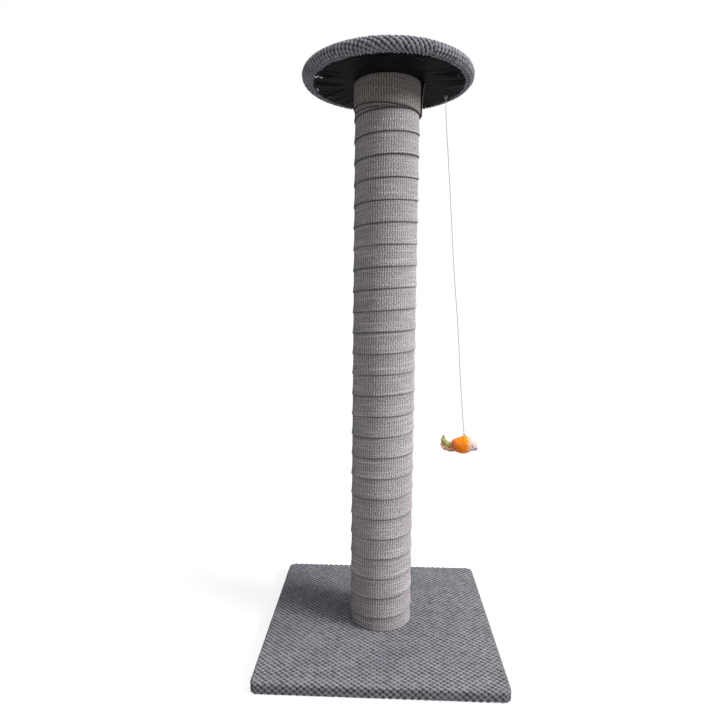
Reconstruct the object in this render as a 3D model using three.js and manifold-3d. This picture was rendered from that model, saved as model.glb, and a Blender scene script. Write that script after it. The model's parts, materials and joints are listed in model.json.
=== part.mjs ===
// A tall cat scratching post: a square foot covered with bobble fabric, a tube wound in a spiral with
// woven webbing, a round upholstered perch on top, and a stuffed toy hanging on a string below the perch.
// Millimetres, +Z up. The origin is under the middle of the foot, and the front faces -Y.

import * as THREE from 'three';
import { mergeVertices } from 'three/addons/utils/BufferGeometryUtils.js';
import Module from 'manifold-3d';

const wasm = await Module();
wasm.setup();

// ---------- driving dimensions ----------

const gap = 0.3; // room left between two pieces that touch

const footSide = 404;
const footHeight = 20.7;
const footCorner = 12;
const footEdge = 4; // rounding of the fabric along the foot's edges
const fabric = 2.05; // bobble fabric on the foot
const hemWidth = 35; // fabric turned under the foot

const tubeOuter = 53; // radius of the cardboard tube
const tubeInner = 50;
const plugRadius = tubeInner - 0.5;
const plugHeight = 25;

const webbing = 1.35; // thickness of the webbing
const turns = 24;
const stepsPerTurn = 24;
const overlap = 1.2; // how far a turn laps over the one below
const proud = 2.05; // how far its lower edge stands out over that one
const ramp = 11; // height in which it comes back to the tube
const lean = 0.05; // the turns tip down towards +X by this slope

const collarBottom = 921;
const collarTurns = 2;
const collarPitch = webbing + 0.45; // radial growth of the collar's strip in one turn
const collarTilt = 5; // half the height by which its outer turn runs askew
const collarLift = 1.4; // how far the strip's free end stands off

const perchHeight = 971.6; // underside of the perch
const perchRadius = 146;
const rimThickness = 23.5;
const crown = 4.9; // rise of the padded top above the rim
const perchFabric = 2.4;
const perchHem = 1.5;
const hemInner = 116; // inner radius of the fabric turned under the perch
const liningRadius = 130;
const lining = 0.6;
const plywood = 12;
const perchSides = 44;

const boltRadius = 4;
const boltHole = boltRadius + 0.4;
const headRadius = 7.5;
const headHeight = 5;
const washer = 1.3;
const washerRadius = 12;
const counterbore = 14;
const nutFlange = 11;
const nutBarrel = 5.2;

const wire = 0.8; // thickness of the staples' wire
const hangPoint = [103.8, 41.6]; // where the string hangs from the perch, in X and Y
const crownDrop = 3.5; // middle of the string's staple below the perch
const loopRadius = 2.2;
const loopWire = 0.5;
const stringRadius = 0.5;
const toyPoint = [153, 41.6, 360]; // lower end of the string

// ---------- solids ----------

// Joins the shared corners of a geometry, drops triangles without area and turns its faces outward.
function closed(geometry) {
  const bare = geometry.clone();
  for (const name of Object.keys(bare.attributes)) {
    if (name !== 'position') bare.deleteAttribute(name);
  }
  const merged = mergeVertices(bare, 1e-4);
  const old = merged.index.array;
  const place = merged.attributes.position;
  const corner = (i) => new THREE.Vector3().fromBufferAttribute(place, i);
  const kept = [];
  let volume = 0;
  for (let i = 0; i < old.length; i += 3) {
    const [a, b, c] = [old[i], old[i + 1], old[i + 2]];
    if (a === b || b === c || c === a) continue;
    kept.push(a, b, c);
    volume += corner(a).dot(corner(b).cross(corner(c)));
  }
  merged.setIndex(volume < 0 ? kept.reverse() : kept);
  return merged;
}

function solid(geometry) {
  const body = closed(geometry);
  return new wasm.Manifold(new wasm.Mesh({
    numProp: 3,
    vertProperties: new Float32Array(body.attributes.position.array),
    triVerts: new Uint32Array(body.index.array),
  }));
}

function geometryOf(body) {
  const mesh = body.getMesh();
  const geometry = new THREE.BufferGeometry();
  geometry.setAttribute('position', new THREE.Float32BufferAttribute(mesh.vertProperties, 3));
  geometry.setIndex([...mesh.triVerts]);
  return geometry;
}

function cut(geometry, ...tools) {
  return geometryOf(tools.reduce((body, tool) => body.subtract(solid(tool)), solid(geometry)));
}

function join(geometry, ...others) {
  return geometryOf(others.reduce((body, other) => body.add(solid(other)), solid(geometry)));
}

function box(size, centre) {
  return new THREE.BoxGeometry(...size).translate(...centre);
}

// An upright cylinder from one height to another, on the Z axis.
function rod(radius, low, high, sides = 16) {
  const geometry = new THREE.CylinderGeometry(radius, radius, high - low, sides);
  return geometry.rotateX(Math.PI / 2).translate(0, 0, (low + high) / 2);
}

// A solid of revolution round the Z axis. The profile is a list of [radius, height].
function turned(profile, sides) {
  const points = profile.map(([radius, height]) => new THREE.Vector2(radius, height));
  return new THREE.LatheGeometry(points, sides).rotateX(Math.PI / 2);
}

function roundedSquare(side, corner) {
  const half = side / 2;
  const flat = half - corner;
  const shape = new THREE.Shape();
  shape.moveTo(flat, -half);
  shape.absarc(flat, -flat, corner, -Math.PI / 2, 0);
  shape.absarc(flat, flat, corner, 0, Math.PI / 2);
  shape.absarc(-flat, flat, corner, Math.PI / 2, Math.PI);
  shape.absarc(-flat, -flat, corner, Math.PI, Math.PI * 1.5);
  return shape;
}

// A square slab with round corners, and with rounded edges where edge is given.
function slab(side, corner, low, high, edge = 0) {
  const shape = roundedSquare(side - 2 * edge, corner - edge);
  const geometry = new THREE.ExtrudeGeometry(shape, {
    depth: high - low - 2 * edge,
    curveSegments: 3,
    bevelEnabled: edge > 0,
    bevelThickness: edge,
    bevelSize: edge,
    bevelSegments: 3,
  });
  return geometry.translate(0, 0, low + edge);
}

// Closes a row of rings of equal count into one body, with flat ends. A ring's outline in its own plane
// is given, so that the ends of a bent outline are filled rightly.
function skin(rings, outline) {
  const count = outline.length;
  const area = THREE.ShapeUtils.area(outline);
  const ends = THREE.ShapeUtils.triangulateShape(outline, []).map(([a, b, c]) => {
    const own = THREE.ShapeUtils.area([outline[a], outline[b], outline[c]]);
    return own * area < 0 ? [a, c, b] : [a, b, c];
  });
  const index = [];
  const last = (rings.length - 1) * count;
  for (const [a, b, c] of ends) index.push(a, c, b, last + a, last + b, last + c);
  for (let ring = 0; ring + 1 < rings.length; ring += 1) {
    for (let i = 0; i < count; i += 1) {
      const a = ring * count + i;
      const b = ring * count + ((i + 1) % count);
      index.push(a, b, b + count, a, b + count, a + count);
    }
  }
  const geometry = new THREE.BufferGeometry().setFromPoints(rings.flat());
  geometry.setIndex(index);
  return geometry;
}

// A stuffed form along a line in the XZ plane. A station is [x, z, half height, half width].
function stuffed(stations, steps = 10, sides = 14, extra = 0) {
  const line = new THREE.CatmullRomCurve3(stations.map(([x, z]) => new THREE.Vector3(x, 0, z)));
  const sizes = new THREE.CatmullRomCurve3(stations.map(([, , h, w]) => new THREE.Vector3(h, w, 0)));
  const outline = Array.from({ length: sides }, (_, i) => {
    const angle = (2 * Math.PI * i) / sides;
    return new THREE.Vector2(Math.cos(angle), Math.sin(angle));
  });
  const rings = [];
  for (let step = 0; step <= steps; step += 1) {
    const at = line.getPoint(step / steps);
    const along = line.getTangent(step / steps);
    const size = sizes.getPoint(step / steps);
    const up = new THREE.Vector3(-along.z, 0, along.x);
    rings.push(outline.map(({ x, y }) => at.clone()
      .addScaledVector(up, x * (size.x + extra))
      .add(new THREE.Vector3(0, y * (size.y + extra), 0))));
  }
  return skin(rings, outline);
}

// ---------- materials ----------

const finish = {
  bobble: { color: 0x77767f, roughness: 0.95, metalness: 0 },
  webbing: { color: 0x8e8886, roughness: 0.9, metalness: 0 },
  lining: { color: 0x121214, roughness: 0.6, metalness: 0 },
  board: { color: 0xb08d62, roughness: 0.8, metalness: 0 },
  card: { color: 0xa58a68, roughness: 0.85, metalness: 0 },
  foam: { color: 0xe4dfcf, roughness: 0.95, metalness: 0 },
  steel: { color: 0xb4b6b8, roughness: 0.35, metalness: 0.9 },
  string: { color: 0xc4c4c4, roughness: 0.8, metalness: 0 },
  orange: { color: 0xf08a1c, roughness: 0.9, metalness: 0 },
  white: { color: 0xf3e6e6, roughness: 0.9, metalness: 0 },
  green: { color: 0x9cab6a, roughness: 0.9, metalness: 0 },
  pink: { color: 0xc48a8c, roughness: 0.9, metalness: 0 },
  bead: { color: 0x0c0a0b, roughness: 0.2, metalness: 0 },
};

function piece(name, geometry, look) {
  const mesh = new THREE.Mesh(closed(geometry), new THREE.MeshStandardMaterial(finish[look]));
  mesh.name = name;
  return mesh;
}

// ---------- staples and bolts ----------

// A staple under a surface at z = 0: its crown runs along X below the surface, and its legs go up.
// With extra, it is the room that the staple needs.
function staple(width, drop, leg, extra = 0) {
  const thick = wire + 2 * extra;
  const rise = leg + drop + extra;
  const crownBar = box([width + 2 * extra, thick, thick], [0, 0, -drop]);
  const legs = [-1, 1].map((side) => box(
    [thick, thick, rise],
    [side * (width - wire) / 2, 0, rise / 2 - drop],
  ));
  return join(crownBar, ...legs);
}

function bolt(low, high, headLow, headHigh) {
  return join(rod(boltRadius, low, high, 16), rod(headRadius, headLow, headHigh, 6));
}

function ring(inner, outer, low, high, sides = 16) {
  return turned([[inner, low], [outer, low], [outer, high], [inner, high], [inner, low]], sides);
}

// A tee nut: a flange outside a plug and a barrel in it, on the bolt's axis.
function teeNut(flangeLow, flangeHigh, barrelLow, barrelHigh) {
  const blank = join(rod(nutFlange, flangeLow, flangeHigh), rod(nutBarrel, barrelLow, barrelHigh));
  const low = Math.min(flangeLow, barrelLow) - 1;
  const high = Math.max(flangeHigh, barrelHigh) + 1;
  return cut(blank, rod(boltRadius + gap, low, high));
}

// ---------- foot ----------

const boardLow = fabric + gap;
const boardHigh = footHeight - fabric - gap;
const boardSide = footSide - 2 * boardLow;
const boreCeiling = 10; // top of the counterbore under the foot
const postLow = footHeight + gap;
const nutDepth = 11;

// Two staples along each side of the foot, in the middle of the hem.
function footStaples(make) {
  return [0, 1, 2, 3].flatMap((side) => [-1, 1].map((end) => make()
    .translate(end * 90, -(footSide - hemWidth) / 2, fabric)
    .rotateZ(side * Math.PI / 2)));
}

function foot() {
  const group = new THREE.Group();
  const crownDepth = 1.2;
  const legLength = 8;
  const rooms = footStaples(() => staple(12, crownDepth, legLength, gap));
  const ways = footStaples(() => box([12 + 2 * gap, wire + 2 * gap, 2], [0, 0, -crownDepth - 1]));
  const board = cut(
    slab(boardSide, footCorner - boardLow, boardLow, boardHigh),
    rod(counterbore, 0, boreCeiling),
    rod(boltHole, 0, footHeight),
    ...rooms,
  );
  const cover = cut(
    slab(footSide, footCorner, 0, footHeight, footEdge),
    slab(boardSide + 2 * gap, footCorner - fabric, fabric, footHeight - fabric),
    slab(footSide - 2 * hemWidth, footCorner, -1, fabric + 1),
    rod(boltHole, 0, footHeight + 1),
    ...rooms,
    ...ways,
  );
  const underside = cut(
    slab(footSide - 2 * hemWidth - 2 * gap, footCorner, 0, fabric),
    rod(counterbore + 2, -1, fabric + 1),
  );
  const washerHigh = boreCeiling - gap;
  const headHigh = washerHigh - washer - gap;
  group.add(piece('base_board', board, 'board'));
  group.add(piece('base_cover', cover, 'bobble'));
  group.add(piece('base_lining', underside, 'lining'));
  group.add(piece('base_washer', ring(boltHole, washerRadius, washerHigh - washer, washerHigh), 'steel'));
  group.add(piece('base_bolt', bolt(headHigh - 1, 58, headHigh - headHeight, headHigh), 'steel'));
  footStaples(() => staple(12, crownDepth, legLength)).forEach((geometry, i) => {
    group.add(piece(`base_staple_${i + 1}`, geometry, 'steel'));
  });
  return group;
}

// ---------- post ----------

const hemLow = lining + gap; // the perch's hem lies on the border of its lining
const plyLow = hemLow + perchHem + gap;
const liningRise = plyLow - gap - lining; // the lining is pressed up to the plywood over the tube
const perchSeat = perchHeight + liningRise - gap; // top of the tube and its plug
const bandInner = tubeOuter + 0.35;

// One section of the band of webbing, as [radius, height over its lower edge]: it lies on the tube and
// its lower edge stands out over the turn below, as a shingle does.
function bandSection(pitch) {
  const width = pitch + overlap;
  const edge = bandInner + proud;
  return [
    [edge, 0],
    [edge + webbing, 0],
    [bandInner + webbing, ramp],
    [bandInner + webbing, width],
    [bandInner, width],
    [bandInner, ramp - 1],
  ];
}

// Points along a ring's edges, close enough together to measure a gap with.
function edgePoints(row) {
  const samples = 12;
  return row.flatMap((from, i) => Array.from(
    { length: samples },
    (_, k) => from.clone().lerp(row[(i + 1) % row.length], k / samples),
  ));
}

// Prints the least distance from one turn to the next, between points on the rings and halfway to the
// next ring, where the flat faces come nearest.
function printLeastGap(name, rings) {
  const halfway = (i) => rings[i].map((p, k) => p.clone().lerp(rings[i + 1][k], 0.5));
  let least = Infinity;
  for (let i = 0; i < stepsPerTurn; i += 1) {
    const far = i + stepsPerTurn;
    for (const [one, other] of [[rings[i], rings[far]], [halfway(i), halfway(far)]]) {
      const others = edgePoints(other);
      for (const p of edgePoints(one)) {
        for (const q of others) least = Math.min(least, p.distanceTo(q));
      }
    }
  }
  console.log(`${name}: least gap between turns ${least.toFixed(2)} mm`);
}

function winding() {
  const low = postLow;
  const high = collarBottom - gap;
  const pitch = (high - low - overlap) / (turns - 1);
  const section = bandSection(pitch);
  const rings = [];
  for (let step = 0; step <= turns * stepsPerTurn; step += 1) {
    const angle = Math.PI / 2 + (2 * Math.PI * step) / stepsPerTurn;
    const [cos, sin] = [Math.cos(angle), Math.sin(angle)];
    const edge = low - pitch + (pitch * step) / stepsPerTurn - lean * tubeOuter * cos;
    rings.push(section.map(([r, z]) => new THREE.Vector3(r * cos, r * sin, edge + z)));
  }
  printLeastGap('webbing_winding', rings);
  const outline = section.map(([r, z]) => new THREE.Vector2(r, z));
  const room = 2 * footSide;
  return cut(
    skin(rings, outline),
    box([room, room, room], [0, 0, low - room / 2]),
    box([room, room, room], [0, 0, high + room / 2]),
  );
}

function collar() {
  const steps = collarTurns * stepsPerTurn;
  const top = perchSeat;
  const liftSteps = 2;
  const rings = [];
  for (let step = 0; step <= steps; step += 1) {
    const turn = step / stepsPerTurn;
    const angle = -2 * Math.PI * turn;
    const [cos, sin] = [Math.cos(angle), Math.sin(angle)];
    const lift = collarLift * Math.max(0, (step - steps + liftSteps) / liftSteps);
    const inner = bandInner + collarPitch * turn + lift;
    const askew = Math.min(1, Math.max(0, 2 * turn - 1)) * collarTilt * (1 - cos);
    const low = collarBottom + askew;
    rings.push([
      new THREE.Vector3(inner * cos, inner * sin, low),
      new THREE.Vector3((inner + webbing) * cos, (inner + webbing) * sin, low),
      new THREE.Vector3((inner + webbing) * cos, (inner + webbing) * sin, top),
      new THREE.Vector3(inner * cos, inner * sin, top),
    ]);
  }
  printLeastGap('collar_strip', rings);
  return skin(rings, [[0, 0], [1, 0], [1, 1], [0, 1]].map(([x, y]) => new THREE.Vector2(x, y)));
}

function post() {
  const group = new THREE.Group();
  const lowerTop = postLow + plugHeight;
  const upperLow = perchSeat - plugHeight;
  const barrelHole = nutBarrel + gap;
  const lowerPlug = cut(
    rod(plugRadius, postLow, lowerTop, stepsPerTurn),
    rod(boltHole, 0, lowerTop + 1),
    rod(barrelHole, lowerTop - nutDepth - gap, lowerTop + 1),
  );
  const upperPlug = cut(
    rod(plugRadius, upperLow, perchSeat, stepsPerTurn),
    rod(boltHole, upperLow - 1, perchSeat + 1),
    rod(barrelHole, upperLow - 1, upperLow + nutDepth + gap),
  );
  const flange = 1.5;
  const lowerNut = teeNut(lowerTop + gap, lowerTop + gap + flange, lowerTop - nutDepth, lowerTop + 1);
  const upperNut = teeNut(upperLow - gap - flange, upperLow - gap, upperLow - 1, upperLow + nutDepth);
  group.add(piece('post_tube', ring(tubeInner, tubeOuter, postLow, perchSeat, stepsPerTurn), 'card'));
  group.add(piece('lower_plug', lowerPlug, 'board'));
  group.add(piece('lower_tee_nut', lowerNut, 'steel'));
  group.add(piece('upper_plug', upperPlug, 'board'));
  group.add(piece('upper_tee_nut', upperNut, 'steel'));
  group.add(piece('webbing_winding', winding(), 'webbing'));
  group.add(piece('collar_strip', collar(), 'webbing'));
  return group;
}

// ---------- perch ----------

const plyHigh = plyLow + plywood;
const rimCentre = perchRadius - rimThickness / 2; // middle of the rim's round section
const plyRadius = rimCentre - gap;
const flatLining = 64; // inside this radius the lining lies against the plywood

// The half round of the rim and the crown above it, drawn in by a distance, from the bottom up.
function rimProfile(inset) {
  const middle = (hemLow + rimThickness) / 2;
  const across = perchRadius - rimCentre - inset;
  const tall = (rimThickness - hemLow) / 2 - inset;
  const half = [0, 1, 2, 3, 4, 5].map((i) => {
    const angle = (i / 5 - 0.5) * Math.PI;
    return [rimCentre + across * Math.cos(angle), middle + tall * Math.sin(angle)];
  });
  const top = [0.8, 0.45, 0].map((share) => {
    const rise = crown * (1 - share * share);
    return [rimCentre * share, rimThickness + rise - inset];
  });
  return [...half, ...top];
}

function perchStaples(make) {
  const radius = (hemInner + liningRadius) / 2;
  return [0, 1, 2, 3, 4, 5, 6, 7].map((i) => make()
    .translate(0, radius, 0)
    .rotateZ((i + 0.5) * Math.PI / 4));
}

function stringStaple(extra) {
  return staple(9, crownDrop, 7, extra)
    .rotateZ(Math.PI / 2)
    .translate(hangPoint[0], hangPoint[1], 0);
}

function perch() {
  const group = new THREE.Group();
  group.position.z = perchHeight;
  const under = wire / 2 + gap;
  const legLength = 8;
  const rooms = perchStaples(() => staple(12, under, legLength, gap));
  const boreFloor = plyLow + 5;
  const board = cut(
    rod(plyRadius, plyLow, plyHigh, perchSides),
    rod(counterbore, boreFloor, plyHigh + 1),
    rod(boltHole, 0, plyHigh),
    ...rooms,
    stringStaple(gap),
  );
  const liningSheet = cut(
    turned([
      [boltHole + gap, liningRise], [flatLining, liningRise], [hemInner - 2, 0], [liningRadius, 0],
      [liningRadius, lining], [hemInner - 2, lining], [flatLining, liningRise + lining],
      [boltHole + gap, liningRise + lining], [boltHole + gap, liningRise],
    ], perchSides),
    ...rooms,
    stringStaple(gap),
  );
  const outer = rimProfile(0);
  const inner = rimProfile(perchFabric);
  const hemHigh = hemLow + perchHem;
  inner[0] = [rimCentre, hemHigh];
  const cover = cut(
    turned([[hemInner, hemLow], ...outer, ...inner.reverse(), [hemInner, hemHigh],
      [hemInner, hemLow]], perchSides),
    ...rooms,
  );
  const edge = plyRadius + gap;
  const stuffing = rimProfile(perchFabric + gap).slice(1);
  const pad = turned([
    [0, plyHigh + gap], [edge, plyHigh + gap], [edge, plyLow + 2], ...stuffing,
  ], perchSides);
  const washerLow = boreFloor + gap;
  const headLow = washerLow + washer + gap;
  group.add(piece('platform_board', board, 'board'));
  group.add(piece('platform_lining', liningSheet, 'lining'));
  group.add(piece('platform_cover', cover, 'bobble'));
  group.add(piece('platform_pad', pad, 'foam'));
  group.add(piece('platform_washer', ring(boltHole, washerRadius, washerLow, washerLow + washer), 'steel'));
  group.add(piece('platform_bolt', bolt(-36, headLow + 1, headLow, headLow + headHeight), 'steel'));
  perchStaples(() => staple(12, under, legLength)).forEach((geometry, i) => {
    group.add(piece(`platform_staple_${i + 1}`, geometry, 'steel'));
  });
  group.add(piece('string_staple', stringStaple(0), 'steel'));
  return group;
}

// ---------- string and toy ----------

const loopCentre = perchHeight - crownDrop;
const stringTop = loopCentre - loopRadius - loopWire - gap;

// The string hangs a little out of plumb, so its route is a hand-chosen list of [x, z] at one depth.
const stringRoute = [
  [104, stringTop], [104.4, 946], [105.9, 920], [109.6, 877], [115.1, 807], [120.6, 737],
  [126.1, 665], [131.4, 610], [136.6, 555], [142, 481], [146.2, 430], [150.4, 385], [152.4, 366],
  [toyPoint[0], toyPoint[2]],
];

function string() {
  const route = stringRoute.map(([x, z]) => new THREE.Vector3(x, hangPoint[1], z));
  const section = new THREE.Shape().absarc(0, 0, stringRadius, 0, 2 * Math.PI);
  const options = { curveSegments: 4, steps: 40, bevelEnabled: false };
  options.extrudePath = new THREE.CatmullRomCurve3(route);
  return new THREE.ExtrudeGeometry(section, options);
}

// Stations of the toy's parts as [x, z, half height, half width], from the point where it hangs.
const bodyLine = [
  [-23, -24, 2, 2], [-18.5, -22, 10.4, 9], [-11, -21.4, 14.1, 12.5], [-3, -21.1, 16.4, 14.2],
  [4, -20.4, 16.4, 14.2], [9.5, -20.4, 14.4, 12.8],
];
const headLine = [
  [9.8, -20.4, 14, 12.4], [12.5, -20.4, 13.4, 11.8], [16.5, -22.4, 11.8, 10.2],
  [21.3, -25.2, 7.6, 6.8], [25, -26.8, 4.2, 4.2], [27.3, -27.6, 1, 1],
];
const upperLobe = [
  [-14, -24, 3.5, 2.5], [-23, -22, 4.4, 3], [-32, -19, 6.2, 3.2], [-38, -12.5, 5, 2.6],
  [-37.4, -3.2, 0.7, 0.8],
];
const lowerLobe = [
  [-13, -28, 4.5, 2.8], [-21, -29.5, 4, 3.2], [-29, -29.4, 4, 3.2], [-37, -26, 3.8, 2.8],
  [-43.4, -18.5, 0.8, 0.8],
];
const eye = { x: 21.7, z: -27.2, depth: 5.6, radius: 1.8 };
const knot = { radius: 1.5, drop: 1.8 };

function ball(radius, centre) {
  return new THREE.SphereGeometry(radius, 10, 8).translate(...centre);
}

function toy() {
  const group = new THREE.Group();
  group.position.set(...toyPoint);
  const bodyRoom = stuffed(bodyLine, 10, 14, gap);
  const upperRoom = stuffed(upperLobe, 9, 10, gap);
  const eyeAt = (side) => [eye.x, side * eye.depth, eye.z];
  const head = cut(
    stuffed(headLine, 9, 14),
    ball(eye.radius + gap, eyeAt(-1)),
    ball(eye.radius + gap, eyeAt(1)),
  );
  group.add(piece('toy_knot', ball(knot.radius, [0, 0, -knot.drop]), 'string'));
  group.add(piece('toy_body', stuffed(bodyLine, 10, 14), 'orange'));
  group.add(piece('toy_head', head, 'white'));
  group.add(piece('toy_eye_near', ball(eye.radius, eyeAt(-1)), 'bead'));
  group.add(piece('toy_eye_far', ball(eye.radius, eyeAt(1)), 'bead'));
  group.add(piece('toy_tail_upper', cut(stuffed(upperLobe, 9, 10), bodyRoom), 'green'));
  group.add(piece('toy_tail_lower', cut(stuffed(lowerLobe, 9, 10), bodyRoom, upperRoom), 'pink'));
  return group;
}

function stringLoop() {
  const geometry = new THREE.TorusGeometry(loopRadius, loopWire, 8, 16);
  return geometry.rotateX(Math.PI / 2).translate(hangPoint[0], hangPoint[1], loopCentre);
}

// ---------- the whole post ----------

const object = new THREE.Group();
object.add(foot(), post(), perch(), toy());
object.add(piece('string_loop', stringLoop(), 'string'));
object.add(piece('string', string(), 'string'));

export default object;
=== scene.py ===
# %% [markdown]
# # A tall cat scratching post, dressed in Blender
# A square foot and a round perch, both in a chunky bobble weave, are joined by a tube wound with webbing,
# and a stuffed toy hangs on a string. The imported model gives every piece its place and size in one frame,
# in metres, with the foot's underside at z = 0 and the front towards -Y. It stays as it is: this script
# adds what one sees, which is cloth, webbing, thread, plush and finishes.

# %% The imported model
import json
import math

import bpy
import numpy as np
from mathutils import Matrix, Vector


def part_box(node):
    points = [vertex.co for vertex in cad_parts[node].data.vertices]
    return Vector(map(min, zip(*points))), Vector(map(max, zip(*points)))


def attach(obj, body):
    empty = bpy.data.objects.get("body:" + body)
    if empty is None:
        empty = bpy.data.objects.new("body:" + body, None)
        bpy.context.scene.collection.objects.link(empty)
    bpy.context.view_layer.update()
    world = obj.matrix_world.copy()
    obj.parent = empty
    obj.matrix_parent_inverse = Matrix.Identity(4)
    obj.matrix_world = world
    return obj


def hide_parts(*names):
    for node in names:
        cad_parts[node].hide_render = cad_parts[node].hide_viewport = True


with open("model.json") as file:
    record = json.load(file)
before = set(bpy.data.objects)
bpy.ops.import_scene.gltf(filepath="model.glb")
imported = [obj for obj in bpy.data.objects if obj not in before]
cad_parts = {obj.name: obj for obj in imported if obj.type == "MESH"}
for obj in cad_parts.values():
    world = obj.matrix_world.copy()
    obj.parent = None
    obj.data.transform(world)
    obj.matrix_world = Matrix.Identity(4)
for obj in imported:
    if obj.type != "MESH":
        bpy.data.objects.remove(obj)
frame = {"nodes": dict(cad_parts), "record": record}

MM = 0.001
TURN = 2 * math.pi
nodes = frame["nodes"]
record = frame["record"]
slot_of = {part["node"]: part["material_slot"] for part in record["subparts"]}
body_of = {node: body for body, members in record["behaviour"]["bodies"].items() for node in members}
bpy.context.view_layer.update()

# %% [markdown]
# ## The camera
# The photograph was taken from a little above half height, turned slightly left and tipped slightly down.
# A few angles and a focal length say that more plainly than a matrix does.

# %% Camera
CAMERA_PLACE = (-5.02 * MM, -1010.24 * MM, 606.15 * MM)
CAMERA_YAW, CAMERA_PITCH, CAMERA_ROLL = 2.1314, -5.9129, 0.5615
FOCAL_LENGTH, SENSOR_WIDTH = 28.307, 36.0

lens = bpy.data.cameras.new("camera")
lens.lens = FOCAL_LENGTH
lens.sensor_width = SENSOR_WIDTH
camera = bpy.data.objects.new("camera", lens)
bpy.context.scene.collection.objects.link(camera)
camera.matrix_world = (
    Matrix.Translation(CAMERA_PLACE)
    @ Matrix.Rotation(math.radians(CAMERA_YAW), 4, "Z")
    @ Matrix.Rotation(math.radians(90 + CAMERA_PITCH), 4, "X")
    @ Matrix.Rotation(math.radians(CAMERA_ROLL), 4, "Z")
)
bpy.context.scene.camera = camera
print("camera at", [round(c, 3) for c in camera.location], "lens", FOCAL_LENGTH, "mm")

# %% [markdown]
# ## Shader maths as plain expressions
# A finish is easier to read as `rib * 0.6 + fuzz * 0.2` than as a list of nodes and links. `Shade` wraps
# one output socket and turns each operator into a Math node, `NodeTree` adds any other node, and a
# `Finish` is a material.

# %% Shade and Finish
MIX_FACTOR, MIX_A, MIX_B, MIX_RESULT = 0, 6, 7, 2  # sockets of a Mix node that is set to colours


class Shade:
    """One socket that numbers, vectors or colours come out of, with arithmetic on its numbers."""

    def __init__(self, finish, socket):
        self.finish, self.socket = finish, socket

    def maths(self, operation, *values):
        return self.finish.node("ShaderNodeMath", {"operation": operation}, dict(enumerate(values)))

    def __add__(self, other):
        return self.maths("ADD", self, other)

    def __sub__(self, other):
        return self.maths("SUBTRACT", self, other)

    def __rsub__(self, other):
        return self.maths("SUBTRACT", other, self)

    def __mul__(self, other):
        return self.maths("MULTIPLY", self, other)

    def __truediv__(self, other):
        return self.maths("DIVIDE", self, other)

    __radd__ = __add__
    __rmul__ = __mul__

    def wave(self, pitch):
        """A ripple from 0 to 1 that repeats every pitch."""
        return self.maths("SINE", self * (TURN / pitch)) * 0.5 + 0.5

    def between(self, low, high):
        """0 below low, 1 above high, and straight between them."""
        values = {"Value": self, "From Min": low, "From Max": high}
        return self.finish.node("ShaderNodeMapRange", values=values)

    def tint(self, low, high, first, second):
        """The first colour where this is below low, and the second where it is above high."""
        return self.finish.mix(self.between(low, high), first, second)

    def part(self, name):
        """Another output of the node that this one comes from."""
        return Shade(self.finish, self.socket.node.outputs[name])


class NodeTree:
    """Adds nodes, such as textures and mixes, to the node tree of a material or of the world."""

    def __init__(self, tree):
        self.tree = tree

    def node(self, kind, settings=None, values=None, out=0):
        made = self.tree.nodes.new(kind)
        for name, value in (settings or {}).items():
            setattr(made, name, value)
        for key, value in (values or {}).items():
            self.feed(made.inputs[key], value)
        return Shade(self, made.outputs[out])

    def feed(self, socket, value):
        """A link, where the value is a Shade, or else a fixed value."""
        if isinstance(value, Shade):
            self.tree.links.new(value.socket, socket)
        else:
            socket.default_value = value

    def place(self):
        """Where a point of the object is, in metres."""
        return self.node("ShaderNodeTexCoord", out="Object")

    def carried(self, name):
        """A vector that the piece's mesh carries under this name."""
        return self.node("ShaderNodeAttribute", {"attribute_name": name}, out="Vector")

    def stretched(self, vector, by):
        """A vector whose three parts are multiplied by three numbers."""
        return self.node("ShaderNodeVectorMath", {"operation": "MULTIPLY"}, {0: vector, 1: by})

    def split(self, vector, axis="X"):
        """One number of a vector. Its part() gives the others."""
        return self.node("ShaderNodeSeparateXYZ", values={0: vector}, out=axis)

    def noise(self, scale, detail=2.0, vector=None, stretch=None):
        """Cloudy noise from 0 to 1 at the object's own places, or at another vector, stretched or not."""
        vector = vector or self.place()
        vector = self.stretched(vector, stretch) if stretch else vector
        return self.node("ShaderNodeTexNoise", values={"Vector": vector, "Scale": scale, "Detail": detail})

    def mix(self, factor, first, second):
        """The first colour where factor is 0, and the second where it is 1. A fixed one is 0 to 255."""
        first, second = (c if isinstance(c, Shade) else paint(*c) for c in (first, second))
        values = {MIX_FACTOR: factor, MIX_A: first, MIX_B: second}
        return self.node("ShaderNodeMix", {"data_type": "RGBA"}, values, out=MIX_RESULT)


class Finish(NodeTree):
    """A material: one Principled surface, with fixed values on its sockets and nodes for the rest."""

    def __init__(self, name, **fixed):
        self.material = bpy.data.materials.new(name)
        self.material.use_nodes = True
        super().__init__(self.material.node_tree)
        self.surface = self.tree.nodes["Principled BSDF"]
        for socket, value in fixed.items():
            self.surface.inputs[socket.replace("_", " ")].default_value = value

    def done(self, colour, roughness=None, height=None, depth=0.2 * MM):
        """Feeds the surface: its colour, its roughness and a bump of that depth in metres."""
        self.feed(self.surface.inputs["Base Color"], colour)
        if roughness is not None:
            self.feed(self.surface.inputs["Roughness"], roughness)
        if height is not None:
            bump = self.node("ShaderNodeBump", values={"Distance": depth, "Height": height}, out="Normal")
            self.feed(self.surface.inputs["Normal"], bump)
        return self.material


def paint(red, green, blue):
    """A colour as read off a picture, 0 to 255, turned into the linear numbers that shaders use."""
    parts = (c / 255 for c in (red, green, blue))
    return (*(c / 12.92 if c <= 0.04045 else ((c + 0.055) / 1.055) ** 2.4 for c in parts), 1.0)


print("a mid grey of 128 is", round(paint(128, 128, 128)[0], 3), "in a shader")

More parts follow.
